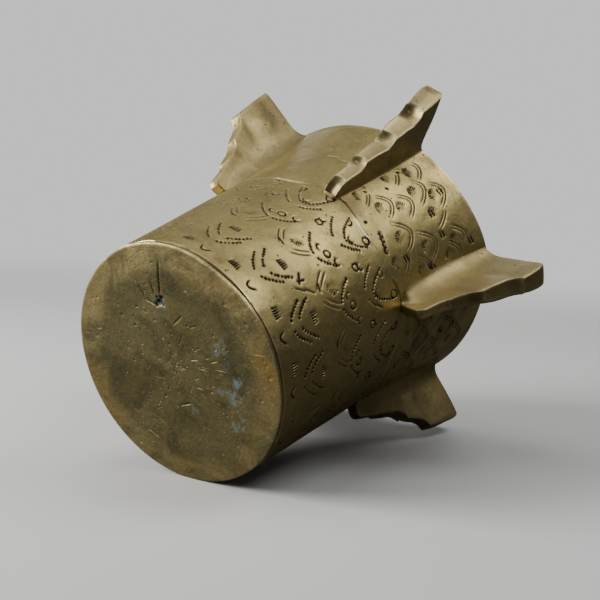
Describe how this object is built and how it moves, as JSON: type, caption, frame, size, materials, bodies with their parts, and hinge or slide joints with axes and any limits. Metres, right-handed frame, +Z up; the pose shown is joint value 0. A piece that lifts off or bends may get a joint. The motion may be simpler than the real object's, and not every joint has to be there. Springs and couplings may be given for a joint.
{
  "type": "footed brass mortar",
  "caption": "Heavy tapered brass mortar with a flared mouth, a round-bottomed bowl, a flat foot and scalloped buttress fins round its upper half.",
  "frame": {"origin": "centre of the foot's underside, on the plane of its flat bearing band", "axes": "+Z up the vessel's axis through the mouth, +X through fin_1; the fins follow anticlockwise at 60 degrees"},
  "size_m": [0.1772, 0.1578, 0.133],
  "materials": {
    "foot_brass": "worn cast brass with dark patina, pits and traces of verdigris",
    "body_brass": "aged cast brass, hand punched and engraved, dark in the marks",
    "fin_brass": "aged cast brass, filed, bright on worn edges"
  },
  "bodies": {
    "root": {"foot_plate": "foot_brass", "body_drum": "body_brass", "mouth_collar": "body_brass", "fin_1": "fin_brass", "fin_2": "fin_brass", "fin_3": "fin_brass", "fin_4": "fin_brass", "fin_5": "fin_brass", "fin_6": "fin_brass"}
  },
  "joints": []
}
